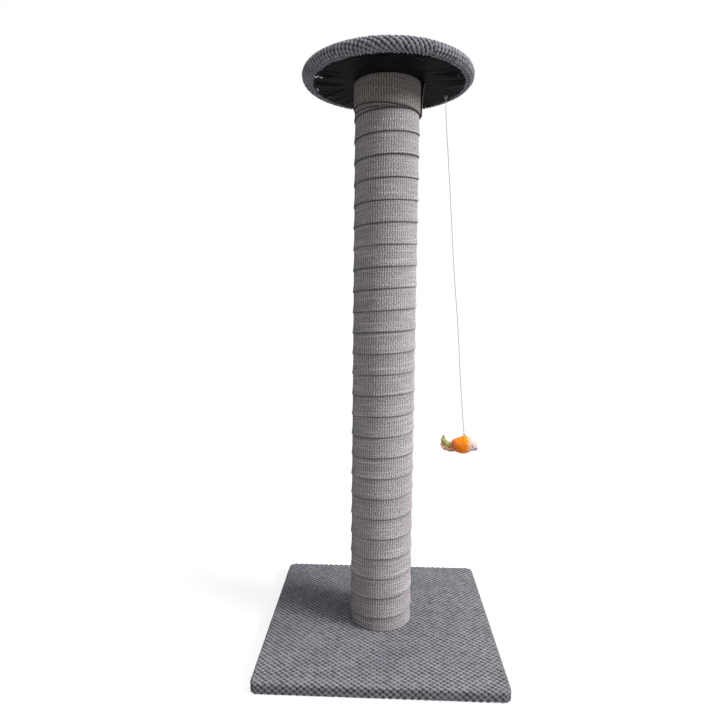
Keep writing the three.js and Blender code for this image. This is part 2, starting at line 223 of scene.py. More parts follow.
# %% [markdown]
# ## Meshes from rings of points
# Nearly every soft piece is a skin of closed rings: round the foot, the perch, the webbing's section or
# the toy. One helper joins ring after ring with four-sided faces, and another makes the object. Threads
# are tubes, whose section is carried along a line without twisting.

# %% Rings and pieces
def joined(rings):
    """Four-sided faces between each ring and the next. A ring is an array of vertex numbers."""
    strips = [
        np.stack([a, b, np.roll(b, -1), np.roll(a, -1)], axis=1) for a, b in zip(rings, rings[1:])
    ]
    return np.concatenate(strips).tolist()


def numbered(count, size, first=0):
    """Vertex numbers of count rings of that size, one after another."""
    return [first + size * k + np.arange(size) for k in range(count)]


def closed(count, size):
    """Faces of a skin of count rings whose last ring is joined back to the first."""
    rings = numbered(count, size)
    return joined(rings + rings[:1])


def all_round(count):
    """count angles, evenly all the way round."""
    return np.linspace(0, TURN, count, endpoint=False)


def unit(vectors):
    """The same directions, with length 1."""
    return vectors / np.linalg.norm(vectors, axis=-1, keepdims=True)


def spots(x, y, z):
    """Points from their three numbers, each an array or one number for all."""
    return np.stack(np.broadcast_arrays(x, y, z), axis=-1)


def make_piece(name, points, faces, material, node=None, body=None, slot=None, sharp=None, **carried):
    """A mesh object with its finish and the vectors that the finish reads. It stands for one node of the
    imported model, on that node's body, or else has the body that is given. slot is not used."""
    mesh = bpy.data.meshes.new(name)
    mesh.from_pydata(np.asarray(points).reshape(-1, 3).tolist(), [], faces)
    for key, values in carried.items():
        store = mesh.attributes.new(key, "FLOAT_VECTOR", "POINT")
        store.data.foreach_set("vector", np.asarray(values, np.float32).ravel())
    mesh.shade_smooth()
    if sharp is not None:
        mesh.set_sharp_from_angle(angle=math.radians(sharp))
    mesh.materials.append(material)
    made = bpy.data.objects.new(name, mesh)
    bpy.context.scene.collection.objects.link(made)
    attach(made, body or body_of[node])
    if node:
        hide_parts(node)
    print(f"{name}: {len(mesh.vertices)} points, {len(mesh.polygons)} faces")
    return made


def tube(line, radius, sides=10):
    """Points and faces of a tube with closed ends along a line."""
    line = np.asarray(line, float)
    ahead = unit(np.gradient(line, axis=0))
    side = np.cross(ahead[0], (0.3, 0.9, 0.2))
    turn = all_round(sides)[:, None]
    rings = []
    for at, way in zip(line, ahead):
        side = unit(side - way * np.dot(way, side))
        rings.append(at + radius * (np.cos(turn) * side + np.sin(turn) * np.cross(way, side)))
    order = numbered(len(line), sides)
    return np.concatenate(rings), joined(order[::-1]) + [order[0][::-1].tolist(), order[-1].tolist()]


# %% [markdown]
# ## Smooth lines through a few points
# The string, the toy's parts and the thread ends are drawn with a handful of points. A cubic through them,
# with each slope taken from the neighbours, is as smooth as needed.

# %% A smooth line
def smooth_line(points, count):
    """count places along a smooth line through the points. Columns past the third only ride along."""
    points = np.asarray(points, float)
    steps = np.linalg.norm(np.diff(points[:, :3], axis=0), axis=1)
    knots = np.concatenate([[0], np.cumsum(steps)])
    slopes = np.gradient(points, knots, axis=0)
    at = np.linspace(0, knots[-1], count)
    k = np.clip(np.searchsorted(knots, at, side="right") - 1, 0, len(knots) - 2)
    span = (knots[k + 1] - knots[k])[:, None]
    t = (at - knots[k])[:, None] / span
    start = (2 * t**3 - 3 * t**2 + 1) * points[k] + (t**3 - 2 * t**2 + t) * span * slopes[k]
    end = (3 * t**2 - 2 * t**3) * points[k + 1] + (t**3 - t**2) * span * slopes[k + 1]
    return start + end


# %% [markdown]
# ## The string
# A thin twisted thread hangs from a loop under the perch to the toy, a little out of plumb and faintly
# bowed, as the toy still swings. It is a free cord, made as a tube along its line. Such thin thread lets
# what is behind it through, and looks darker than white and paler than black. So it is mid grey. Its top
# end, in the perch's shade in front of the black lining, is painted paler, as painted light.

# %% String
LIT_TOP_FROM, LIT_TOP_TO = 0.94, 0.958  # heights where a thread's top gets painted light, a paler colour


def thread_finish(name, colour, shadow, pale, twist):
    """Twisted thread: pale and dark bands that climb round it, and a top painted paler as painted light."""
    finish = Finish(name, Roughness=0.7, Specular_IOR_Level=0.2)
    place = finish.split(finish.place())
    ply = (place.part("Z") + place * 0.8 + place.part("Y") * 0.8).wave(twist)
    twisted = finish.mix(ply, shadow, colour)
    # Painted light: the top end, in the perch's shade, is painted paler.
    top_painted_lighter = place.part("Z").tint(LIT_TOP_FROM, LIT_TOP_TO, twisted, pale)
    return finish.done(top_painted_lighter, ply * 0.2 + 0.6, ply, 0.1 * MM)


STRING_DEPTH = 0.0416
STRING_DIAMETER = 0.001
STRING_ROUTE = [
    (0.1040, 0.9651), (0.1044, 0.9460), (0.1059, 0.9200), (0.1096, 0.8770), (0.1151, 0.8070),
    (0.1206, 0.7370), (0.1261, 0.6650), (0.1314, 0.6100), (0.1366, 0.5550), (0.1420, 0.4810),
    (0.1462, 0.4300), (0.1504, 0.3850), (0.1524, 0.3660), (0.1530, 0.3600),
]
string_thread = thread_finish("string thread", (156, 155, 157), (118, 117, 120), (242, 241, 243), 1.6 * MM)
string_line = smooth_line([(x, STRING_DEPTH, z) for x, z in STRING_ROUTE], 161)
string = make_piece("hanging_thread", *tube(string_line, STRING_DIAMETER / 2), string_thread, "string")

# %% [markdown]
# ## The bobble weave's finish
# The cloth is a soft, slightly violet grey yarn, plaited into fat bobbles with dark holes among them. The
# meshes carry the place on the flat cloth, in mm, and the height: holes get painted shade by that height,
# and strands run along the yarn as a bump. The foot's sides get painted shade, and the perch's copy of the
# cloth is painted lighter than the foot's, as painted light.

# %% Bobble weave finish
WORN_YARN = (112, 112, 119)
SIDES_BELOW, TOP_FROM = 12 * MM, 20 * MM  # heights between which the painted shade of the foot's sides ends


def bobble_finish(name, light, dark, hole):
    finish = Finish(name, Roughness=0.95, Specular_IOR_Level=0.05)
    cloth = finish.carried("cloth")
    strands = finish.noise(1.0, 3.0, cloth, (0.5, 1.7, 0))
    fibres = finish.noise(2600)
    worn = finish.noise(24, 3.0).tint(0.4, 0.8, strands.tint(0.34, 0.66, dark, light), WORN_YARN)
    # Painted shade: below TOP_FROM the foot's sides are painted part way, 0.3, towards the hole colour.
    top = finish.split(finish.place(), "Z").between(SIDES_BELOW, TOP_FROM)
    shaded_sides = finish.mix(0.3 - top * 0.3, worn, hole)
    # Painted shade in the holes: the colour goes from the hole colour, where the weave is low, to the
    # yarn's.
    colour = finish.split(cloth, "Z").tint(0.0, 0.8, hole, shaded_sides)
    return finish.done(colour, fibres * 0.1 + 0.86, strands * 0.7 + fibres * 0.3, 0.6 * MM)


# The perch's copy is painted lighter than the foot's, as painted light on the rim, with deeper painted shade
# in its holes.
foot_weave = bobble_finish("foot weave", (154, 154, 160), (91, 91, 96), (42, 41, 45))
perch_weave_painted_lighter = bobble_finish("perch weave", (162, 162, 169), (98, 98, 104), (34, 33, 37))

# %% [markdown]
# ## The shape of the bobble weave
# Holes and bobbles sit like the two colours of a chessboard with longish squares. Each bobble is an oval
# dome, like a fat grain of rice that leans over, and no two are quite alike. Where domes meet they leave a
# crease. The height is worked out for the flat cloth, so it serves the foot and the perch.

# %% Height of the weave
COLUMN_STEP, ROW_STEP = 5.52 * MM, 4.75 * MM  # from a bobble to the hole beside it
BOBBLE_LONG, BOBBLE_SHORT = 4.9 * MM, 3.45 * MM  # half lengths of one oval
VARIETY = 61  # bobbles before the little differences repeat
odds = np.random.default_rng(20).random((VARIETY, VARIETY, 4)) - 0.5


def weave_height(u, v, lean):
    """0 in a hole and about 1 on a bobble, at a place (u, v) of the flat cloth. The bobbles' long way
    leans by that angle from the row."""
    c, s = np.cos(lean), np.sin(lean)
    column, row = np.round(u / COLUMN_STEP), np.round(v / ROW_STEP)
    highest = np.zeros_like(u)
    for across in (-1, 0, 1):
        for along in (-1, 0, 1):
            i, j = (column + across).astype(int), (row + along).astype(int)
            odd = odds[i % VARIETY, j % VARIETY]
            du = u - i * COLUMN_STEP - 0.9 * MM * odd[..., 0]
            dv = v - j * ROW_STEP - 0.8 * MM * odd[..., 1]
            size = 1 + 0.2 * odd[..., 2]
            ahead = (du * c + dv * s) / (BOBBLE_LONG * size)
            aside = (dv * c - du * s) / (BOBBLE_SHORT * size)
            dome = np.clip(1 - ahead**2 - aside**2, 0, 1) ** 0.75 * (1 + 0.22 * odd[..., 3])
            highest = np.maximum(highest, np.where((i + j) % 2 == 0, dome, 0))
    return highest


trial = weave_height(*np.meshgrid(np.linspace(0, 0.1, 200), np.linspace(0, 0.1, 200)), 0)
print(f"weave: its mean height is {trial.mean():.2f}, and {(trial < 0.1).mean():.0%} of it is hole")

# %% [markdown]
# ## A cloth pulled over a board
# Both covers are one cloth that lies over a board, bends down over its edge and is turned under it. The
# top is a square grid with its corners pushed in until they are round, which makes a disc for the perch.
# From its border, rings run over the edge and under the board. They keep the border's directions, so the
# flat cloth continues over the edge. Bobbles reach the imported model's surface, and holes sink in from it.

# %% Covers
SEAM_DEPTH = 0.5 * MM


def rounded_corners(x, y, half, corner):
    """Points of a square, moved so that its corners get that radius."""
    inner = half - corner
    a, b = (np.clip(np.abs(p) - inner, 0, corner) / corner for p in (x, y))
    new_x = np.minimum(np.abs(x), inner) + corner * a * np.sqrt(1 - b * b / 2)
    new_y = np.minimum(np.abs(y), inner) + corner * b * np.sqrt(1 - a * a / 2)
    return np.sign(x) * new_x, np.sign(y) * new_y


def border_of(cells):
    """Vertex numbers round the border of a grid of cells by cells, counterclockwise from above."""
    side, wide = np.arange(cells), cells + 1
    right, top = side * wide + cells, cells * wide + cells - side
    return np.concatenate([side, right, top, (cells - side) * wide])


def cover(name, node, material, half, corner, cells, top_height, edge, lining_edge, depth, cut):
    """A closed skin of cloth. edge lists (out, height, normal out, normal up) from the top's border on;
    lining_edge lists (out, height) back along the inside; cut turns flat places into weave places."""
    line = np.linspace(-half, half, cells + 1)
    x, y = (a.ravel() for a in rounded_corners(*np.meshgrid(line, line), half, corner))
    border = border_of(cells)
    rim = np.stack([x[border], y[border]], axis=1)
    inner = half - corner
    core = np.clip(rim, -inner, inner)
    out_way = unit(rim - core)
    middle = core / inner if inner > 0 else np.zeros_like(core)
    carried = []

    def ring_at(out):
        radius = max(corner + out, 1 * MM)
        return middle * (half + out - radius) + out_way * radius

    def sunk(flat_x, flat_y):
        """How deep the weave's surface lies at places of the flat cloth."""
        u, v, lean, sink = cut(flat_x, flat_y)
        height = weave_height(u, v, lean) * (1 - 0.5 * sink)
        carried.append(spots(u / MM, v / MM, height))
        return depth * (1 - height) + SEAM_DEPTH * sink

    points = [spots(x, y, top_height(np.hypot(x, y)) - sunk(x, y))]
    gone, last = 0.0, (0.0, float(top_height(np.array(half))))
    for out, level, normal_out, normal_up in edge:
        gone += math.hypot(out - last[0], level - last[1])
        last = (out, level)
        inward = sunk(*(rim + out_way * gone).T)
        flat = ring_at(out) - out_way * inward[:, None] * normal_out
        points.append(spots(*flat.T, level - inward * normal_up))
    for out, level in lining_edge:
        points.append(spots(*ring_at(out).T, level))
        carried.append(np.zeros((len(rim), 3)))
    grid = np.arange((cells + 1) ** 2).reshape(cells + 1, cells + 1)
    quads = np.stack([grid[:-1, :-1], grid[:-1, 1:], grid[1:, 1:], grid[1:, :-1]], axis=-1)
    rings = [border] + numbered(len(edge) + len(lining_edge), len(border), (cells + 1) ** 2)
    faces = quads.reshape(-1, 4).tolist() + joined(rings) + [rings[-1][::-1].tolist()]
    return make_piece(name, np.concatenate(points), faces, material, node, cloth=np.concatenate(carried))


def bend(radius, first, last, count, middle_out, middle_height):
    """Part of an edge: an arc from angle first to last, 0 up and 90 outward, in count steps."""
    angles = np.radians(np.linspace(first, last, count + 1))[1:]
    return [
        (middle_out + radius * math.sin(a), middle_height + radius * math.cos(a), math.sin(a), math.cos(a))
        for a in angles
    ]


# %% [markdown]
# ## The foot's cover
# The rows run from side to side and rise towards the right, where the cloth was pulled. The cloth goes
# over a softly rounded edge and is turned under the board.

# %% Foot cover
FOOT_HALF, FOOT_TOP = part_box("base_cover")[1].x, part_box("base_cover")[1].z
FOOT_CORNER, FOOT_EDGE, FOOT_HEM = 12 * MM, 4 * MM, 34.7 * MM
CLOTH_THICK = 2.05 * MM
FOOT_RELIEF = 1.55 * MM
WEAVE_CELL = 1.3 * MM
ROW_RISE = 0.045  # slope of the foot's rows at its right
FOOT_LEAN = math.radians(-20)  # of the bobbles on top; those of the foot's sides stand straight


def foot_cut(u, v):
    """The foot's rows rise towards the right and hardly wave, and nothing is sewn."""
    right = (u + np.hypot(u, 60 * MM)) / 2
    waved_v = v - ROW_RISE * right + 0.5 * MM * np.sin(u / (74 * MM) + 0.6)
    waved_u = u + 0.6 * MM * np.sin(v / (57 * MM)) + 0.3 * MM * np.sin(v / (19 * MM) + 1)
    on_top = np.maximum(np.abs(u), np.abs(v)) < FOOT_HALF
    return waved_u, waved_v, FOOT_LEAN * on_top, np.zeros_like(u)


foot_edge = bend(FOOT_EDGE, 0, 90, 5, 0, FOOT_TOP - FOOT_EDGE)
for level in np.linspace(FOOT_TOP - FOOT_EDGE, FOOT_EDGE, 11)[1:]:
    foot_edge.append((FOOT_EDGE, float(level), 1, 0))
foot_edge += bend(FOOT_EDGE, 90, 180, 5, 0, FOOT_EDGE)
for out in np.linspace(0, FOOT_EDGE - FOOT_HEM, 24)[1:]:
    foot_edge.append((float(out), 0, 0, -1))
foot_inside = [
    (FOOT_EDGE - FOOT_HEM - 0.3 * MM, 0.8 * MM), (FOOT_EDGE - FOOT_HEM, CLOTH_THICK),
    (FOOT_EDGE - CLOTH_THICK, CLOTH_THICK), (FOOT_EDGE - CLOTH_THICK, FOOT_TOP - CLOTH_THICK),
]
foot_flat = FOOT_HALF - FOOT_EDGE
foot_cover = cover(
    "foot_cover", "base_cover", foot_weave, foot_flat, FOOT_CORNER - FOOT_EDGE,
    round(2 * foot_flat / WEAVE_CELL), lambda r: 0 * r + FOOT_TOP, foot_edge, foot_inside, FOOT_RELIEF,
    foot_cut,
)

# %% [markdown]
# ## The perch's cover
# The rows run from front to back, a little askew, so they go along the rim at the left and across it at
# the front. At the right front is a join, and past it the weave's diagonal goes along the rim. Stretching
# makes the bobbles lean, at the front one way and at the left the other. The cover rolls round a fat rim
# and back under the board, and the pad crowns its top.

# %% Perch cover
PERCH_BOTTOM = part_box("platform_lining")[0].z
RIM_MIDDLE, RIM_RADIUS = 134.25 * MM, 11.75 * MM
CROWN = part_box("platform_cover")[1].z - PERCH_BOTTOM - 2 * RIM_RADIUS
PERCH_HEM_INNER, PERCH_HEM_RISE = 117 * MM, 0.9 * MM
PERCH_RELIEF = 2.2 * MM
ROW_ANGLE = math.radians(100)
JOIN_FROM, JOIN_TO = math.radians(-62), math.radians(70)
JOIN_EDGE = 124 * MM  # the pieced stretch of the rim starts this far from the middle
BIAS = math.atan2(ROW_STEP, COLUMN_STEP)  # turn that lays the weave's diagonal along the rim
FRONT_LEAN, LEFT_LEAN, PIECED_LEAN = math.radians(-26), BIAS, BIAS - math.radians(80)
LEAN_CHANGE = math.radians(-108)  # where on the rim the stretched bobbles change their lean


def perch_cut(u, v):
    """Weave places of the perch's cloth, its bobbles' lean, and how deep a seam draws it in, 0 to 1."""
    far, angle = np.hypot(u, v), np.arctan2(v, u)
    left = np.clip((LEAN_CHANGE - angle) / math.radians(24) + 0.5, 0, 1) * (far > RIM_MIDDLE / 2)
    laid_u = u * math.cos(ROW_ANGLE) + v * math.sin(ROW_ANGLE) + 0.6 * MM * np.sin(v / (40 * MM))
    laid_v = u * math.sin(ROW_ANGLE) - v * math.cos(ROW_ANGLE) + 0.6 * MM * np.sin(u / (47 * MM))
    inside = (angle > JOIN_FROM) & (angle < JOIN_TO)
    pieced = inside & (far > JOIN_EDGE)
    round_rim = angle * (RIM_MIDDLE + RIM_RADIUS) * 1.04
    biased_u = round_rim * math.cos(BIAS) - far * math.sin(BIAS)
    biased_v = round_rim * math.sin(BIAS) + far * math.cos(BIAS)
    off_ends = np.minimum(np.abs(angle - JOIN_FROM), np.abs(angle - JOIN_TO)) * RIM_MIDDLE
    off = np.minimum(np.where(far > JOIN_EDGE, off_ends, 1), np.where(inside, np.abs(far - JOIN_EDGE), 1))
    sink = np.exp(-((off / (1.2 * MM)) ** 2))
    lean = np.where(pieced, PIECED_LEAN, FRONT_LEAN + (LEFT_LEAN - FRONT_LEAN) * left)
    return np.where(pieced, biased_u, laid_u), np.where(pieced, biased_v, laid_v), lean, sink


def perch_top(r):
    """Height of the crowned top at that distance from the middle."""
    return PERCH_BOTTOM + 2 * RIM_RADIUS + CROWN * (1 - (r / RIM_MIDDLE) ** 2)


rim_height = PERCH_BOTTOM + RIM_RADIUS
perch_edge = bend(RIM_RADIUS, 0, 180, 28, 0, rim_height)
for out in np.linspace(0, PERCH_HEM_INNER - RIM_MIDDLE, 13)[1:]:
    rise = PERCH_HEM_RISE * min(1, -out / (4 * MM))
    perch_edge.append((float(out), PERCH_BOTTOM + rise, 0, -1))
hem_top = PERCH_BOTTOM + 2.4 * MM
perch_inside = [
    (PERCH_HEM_INNER - RIM_MIDDLE - 0.3 * MM, hem_top), (0, hem_top),
    (RIM_RADIUS - 2.4 * MM, rim_height), (0, PERCH_BOTTOM + 2 * RIM_RADIUS - 2.4 * MM),
]
perch_cover = cover(
    "perch_cover", "platform_cover", perch_weave_painted_lighter, RIM_MIDDLE, RIM_MIDDLE,
    round(2 * RIM_MIDDLE / WEAVE_CELL), perch_top, perch_edge, perch_inside, PERCH_RELIEF, perch_cut,
)
perch_cloth = 2 * (RIM_MIDDLE + math.pi * RIM_RADIUS + RIM_MIDDLE - PERCH_HEM_INNER)
math.pi * (perch_cloth / 2) ** 2
print("perch's cloth was cut", round(perch_cloth, 3), "m across")

# %% [markdown]
# ## The webbing's finish
# The webbing is a warm grey cotton band. Its ribs stand across it, waver, and break up into bright spots
# with pits among them, as the weft goes over one rib and under the next. Its mesh carries the places along
# and across it, in mm. Painted shade at its lower lip and just under the next turn draws the seams, and
# that painted shade is darkest in the perch's shade.

# %% Webbing finish
RIB_PITCH = 4.2
SPOT_PITCH = 4.0  # from one bright spot of a rib to the next one
# colour of the painted shade that draws the seams, under each lip and under the next turn
SEAM_SHADE = (30, 27, 26)
SHADED_FROM, SHADED_TO = 0.7, 0.95  # heights between which the perch's shade sets in


def webbing_finish(name, light, dark, streak, shown, lip, seam_shade_low):
    finish = Finish(name, Roughness=0.97, Specular_IOR_Level=0.05)
    band = finish.carried("band")
    along = finish.split(band)
    across = along.part("Y")
    waver = finish.noise(1.0, 1.0, band, (0.1, 0.14, 0))
    uneven = finish.noise(1.0, 1.0, band, (0.16, 0.2, 0))
    specks = finish.noise(1.0, 1.0, band, (0.5, 0.3, 0))
    fuzz = finish.noise(1.0, 2.0, band, (1.6, 1.2, 0))
    streaks = finish.noise(1.0, 1.0, band, (0.012, 0.55, 0))
    clouds = finish.noise(1.0, 2.0, band, (0.02, 0.05, 0))
    rib = (along + waver * 4).wave(RIB_PITCH)
    spot = (across + along * (SPOT_PITCH / 2 / RIB_PITCH) + uneven * 5).wave(SPOT_PITCH)
    pattern = rib * (spot * 0.5 + 0.5) * 0.62 + specks.between(0.3, 0.7) * 0.3 + fuzz * 0.16
    pale = finish.mix(streaks.between(0.54, 0.74) * 0.44, pattern.tint(0.14, 0.84, dark, light), streak)
    aged = finish.mix(clouds.between(0.5, 0.8) * 0.2, pale, dark)
    # Painted shade: the band is painted darker just under the next turn's lip and at its own lower lip, and
    # darker still towards the perch's shade.
    pocket = across.between(shown - 4.6, shown - 0.9)
    under_lip = 1 - across.between(0.2, lip)
    high = finish.split(finish.place(), "Z").between(SHADED_FROM, SHADED_TO)
    seam = (pocket * pocket * 1.3 + under_lip) * (high * (1 - seam_shade_low) * 0.5 + seam_shade_low)
    return finish.done(finish.mix(seam, aged, SEAM_SHADE), fuzz * 0.08 + 0.88, pattern, 0.9 * MM)


webbing = webbing_finish("webbing", (177, 172, 174), (92, 87, 88), (216, 210, 212), 36.4, 1.5, 0.36)
# The collar is the winding's webbing, painted darker as painted shade from the perch over it, with stronger
# painted seam shade.
shaded_collar_webbing = webbing_finish(
    "collar webbing painted darker", (154, 147, 144), (78, 73, 71), (172, 166, 164), 90, 3.4, 0.7
)
print("webbing: ribs every", RIB_PITCH, "mm")

# %% [markdown]
# ## Bands with thickness
# Both windings are a flat band bent round the tube. At each angle its section goes up the outer face and
# down the inner one, and joined sections give a closed skin, whose real edges throw thin shadows.

# %% Band
WEBBING_THICK = 1.35 * MM
BAND_WIDTH = 38.2 * MM
OUTER_ROWS = np.array([0, 0.02, 0.055, 0.12, 0.2, 0.3, 0.4, 0.5, 0.6, 0.7, 0.8, 0.9, 0.97, 1])
INNER_ROWS = np.array([1, 0.5, 0])


def band(name, node, material, angles, low, high, outer, along, first_across):
    """A band from height low to high at each angle. outer(across) gives its outer radius, where across
    is how far a point is above the band's own lower edge. All are arrays with one row for each angle."""
    share = np.concatenate([OUTER_ROWS, INNER_ROWS])
    z = low[:, None] + (high - low)[:, None] * share
    across = z - first_across[:, None]
    rib = np.cos(TURN * along / (RIB_PITCH * MM))[:, None]
    radius = outer(across) + 0.24 * MM * rib
    softened = np.minimum(np.minimum(share, 1 - share) * BAND_WIDTH, 0.6 * MM) / (0.6 * MM)
    radius = radius - 0.35 * MM * (1 - softened)
    radius[:, len(OUTER_ROWS):] = outer(across)[:, len(OUTER_ROWS):] - WEBBING_THICK
    x, y = radius * np.cos(angles)[:, None], radius * np.sin(angles)[:, None]
    sections = numbered(len(angles), len(share))
    faces = joined(sections) + [sections[0][::-1].tolist(), sections[-1].tolist()]
    carried = spots(along[:, None] / MM, across / MM, rib * 0.5 + 0.5)
    return make_piece(name, spots(x, y, z), faces, material, node, sharp=50, band=carried)


# %% [markdown]
# ## The winding
# One band climbs the tube in 25.6 right-handed turns. Each turn's lower edge laps over the turn below and
# stands proud, the turns tip down towards +X, and the band is cut off level at both ends. Hand winding is
# never even: slow sine waves with unrelated lengths let the edge wander by half a millimetre.

# %% Winding
WINDING_LOW, WINDING_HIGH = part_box("webbing_winding")[0].z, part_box("webbing_winding")[1].z
SEAM_PITCH = 36.43 * MM
FRONT_SEAM = 45.1 * MM  # height of the lowest whole seam at the front of the post
SEAM_LEAN = 0.05
WOUND_RADIUS = 54.7 * MM  # outer face of the band where it lies on the tube
PROUD, PROUD_HEIGHT = 1.7 * MM, 20 * MM
RIBS_PER_TURN = round(TURN * WOUND_RADIUS / (RIB_PITCH * MM))
STEPS_PER_RIB = 4


def wandering(angles, scale):
    """A slow, uneven drift between about -scale and scale."""
    waves = np.sin(angles * 0.37 + 1.0) + np.sin(angles * 1.13 + 2.3) + np.sin(angles * 2.71 + 0.4)
    return scale * waves / 3


def winding():
    front = -math.pi / 2
    start = front + TURN * (WINDING_LOW + 2 * MM - BAND_WIDTH - FRONT_SEAM) / SEAM_PITCH
    stop = front + TURN * (WINDING_HIGH - 1 * MM - FRONT_SEAM) / SEAM_PITCH
    turns = (stop - start) / TURN
    angles = start + TURN * np.arange(round(turns * RIBS_PER_TURN * STEPS_PER_RIB)) / (
        RIBS_PER_TURN * STEPS_PER_RIB
    )
    along = (angles - start) / TURN * RIBS_PER_TURN * RIB_PITCH * MM
    x = WOUND_RADIUS * np.cos(angles)
    ragged = 0.2 * MM * np.cos(TURN * along / (RIB_PITCH * MM)) + wandering(angles, 0.7 * MM)
    edge = FRONT_SEAM + SEAM_PITCH * (angles - front) / TURN - SEAM_LEAN * x + ragged
    low = np.clip(edge, WINDING_LOW, WINDING_HIGH - 0.4 * MM)
    high = np.maximum(np.clip(edge + BAND_WIDTH, WINDING_LOW, WINDING_HIGH), low + 0.4 * MM)
    swell = wandering(angles * 1.7, 0.25 * MM)[:, None]

    def outer(across):
        lifted = np.clip(1 - across / PROUD_HEIGHT, 0, 1) ** 1.6
        return WOUND_RADIUS + swell * lifted + PROUD * lifted

    band("webbing_band", "webbing_winding", webbing, angles, low, high, outer, along, edge)
    print("winding:", round(turns, 1), "turns,", round(float(along[-1]), 1), "m of webbing")


winding()

# %% [markdown]
# ## The collar
# A strip of webbing goes twice round the post's top, clockwise from above, each turn on the last. The
# outer turn runs askew, higher at the left. Its free end, at the right, stands off and curls outward.

# %% Collar
COLLAR_LOW, COLLAR_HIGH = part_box("collar_strip")[0].z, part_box("collar_strip")[1].z
COLLAR_RADIUS = 54.7 * MM
COLLAR_GROWTH = 1.8 * MM  # in one turn
COLLAR_ASKEW = 5 * MM
COLLAR_END = math.radians(6)  # how far the free end goes past +X
CURL_ANGLE = math.radians(24)


def collar():
    angles = np.linspace(-2 * TURN - COLLAR_END, 0, 2 * RIBS_PER_TURN * STEPS_PER_RIB)
    turns = -angles / TURN
    low = COLLAR_LOW + np.where(turns > 1, COLLAR_ASKEW * (1 - np.cos(angles)), 0)
    high = np.full_like(low, COLLAR_HIGH)
    curl = np.clip(1 - (angles - angles[0]) / CURL_ANGLE, 0, 1)[:, None] ** 2

    def outer(across):
        share = np.clip(across / (COLLAR_HIGH - COLLAR_LOW), 0, 1)
        slack = 0.25 * MM * np.sin(3 * angles + 1)[:, None] * np.clip(turns - 1, 0, 1)[:, None]
        return COLLAR_RADIUS + COLLAR_GROWTH * turns[:, None] + slack + curl * (0.9 + 4.6 * share**2) * MM

    along = (angles - angles[0]) * COLLAR_RADIUS
    band("collar_band", "collar_strip", shaded_collar_webbing, angles, low, high, outer, along, low)


collar()

# %% [markdown]
# ## The black lining under the perch
# A disc of thin black cloth hides the board from below. It is pulled up in the middle and gathered at the
# rim, most at the left and the right, so soft folds run in and fade out. Each is a bell-shaped ridge along
# a line that isn't quite radial. On black, only their sheen shows.

# %% Lining finish and folds
def lining_finish():
    finish = Finish("black lining", Specular_IOR_Level=0.008)
    dust = finish.noise(60, 4.0)
    colour = dust.tint(0.4, 0.8, (17, 17, 20), (30, 31, 34))
    return finish.done(colour, dust * 0.2 + 0.4, finish.noise(2400), 0.08 * MM)


LINING_HOLE, LINING_RADIUS = 4.7 * MM, 130 * MM
LINING_THICK = 0.5 * MM
LINING_RISE = 1.8 * MM
LINING_ASIDE = 2.2 * MM  # the lining was put on that far towards +X
PUCKER = 0.026  # share of its radius by which the thread draws the lining's edge in, here and there
FOLD_ROWS, FOLD_COLUMNS = 74, 720
fold_odds = np.random.default_rng(5)


def fold_depth(angles, radii):
    """How far the lining's folds hang down, in metres."""
    depth = np.zeros(np.broadcast_shapes(angles.shape, radii.shape))
    reach = np.clip((radii - 62 * MM) / (46 * MM), 0, 1) ** 1.4
    held = np.clip((LINING_RADIUS - radii) / (5 * MM), 0, 1)
    for side, count in ((math.pi, 13), (0.0, 13), (math.pi / 2, 7), (-math.pi / 2, 5)):
        for _ in range(count):
            middle = side + fold_odds.normal(0, 0.48)
            twist = fold_odds.normal(0, 0.22)
            wide = fold_odds.uniform(2.2, 5.5) * MM
            deep = fold_odds.uniform(0.25, 1.0) * 2.6 * MM * (1 if count > 10 else 0.45)
            start = fold_odds.uniform(0.6, 1.2)
            line = middle + twist * (LINING_RADIUS - radii) / LINING_RADIUS
            off = (np.angle(np.exp(1j * (angles - line)))) * radii
            depth += deep * np.exp(-((off / wide) ** 2)) * np.clip(reach * start, 0, 1) * held
    return depth


# %% Lining under the perch
def perch_lining():
    angles = all_round(FOLD_COLUMNS)[None, :]
    radii = np.linspace(LINING_HOLE, LINING_RADIUS, FOLD_ROWS)[:, None]
    rise = LINING_RISE * np.clip((114 * MM - radii) / (50 * MM), 0, 1)
    low = PERCH_BOTTOM + rise - fold_depth(angles, radii)
    puckers = np.sin(41 * angles) + np.sin(29 * angles + 2) + np.sin(17 * angles + 1)
    cut = radii * (1 - PUCKER * (0.5 + puckers / 6) * (radii / LINING_RADIUS) ** 8)
    x = cut * np.cos(angles) + LINING_ASIDE * radii / LINING_RADIUS
    y = cut * np.sin(angles)
    points = np.concatenate([spots(x, y, low), spots(x, y, low + LINING_THICK)[::-1]])
    faces = closed(2 * FOLD_ROWS, FOLD_COLUMNS)
    return make_piece("perch_lining", points, faces, lining_finish(), "platform_lining")


under_perch = perch_lining()

# %% [markdown]
# ## Loose thread ends
# Two pale ends of sewing thread stick out from the lining's edge at the left. They hold the lining, so
# they go with it.

# %% Thread ends
THREAD_RADIUS = 0.6 * MM
THREAD_ENDS = {
    "thread_end_front": [
        (-120, -49, 0), (-117, -47, -2.6), (-113, -50.5, -1.2), (-109, -47, -3.0), (-104, -49, -1.4),
    ],
    "thread_end_side": [(-122, 13, 0), (-120, 11, -2.2), (-119.5, 7, -3.0), (-121, 3, -2.0)],
}
for name, points in THREAD_ENDS.items():
    line = smooth_line([(x * MM, y * MM, z * MM + PERCH_BOTTOM) for x, y, z in points], 30)
    stub = tube(line, THREAD_RADIUS)
    make_piece(name, *stub, string_thread, body="stand", slot="string_thread")

# %% [markdown]
# ## The felt under the foot
# A square of black felt covers the foot's raw underside inside the hem, with a hole for the bolt. It lies
# on the floor, so its hills touch z = 0. Its rings change from the round hole to the square border.

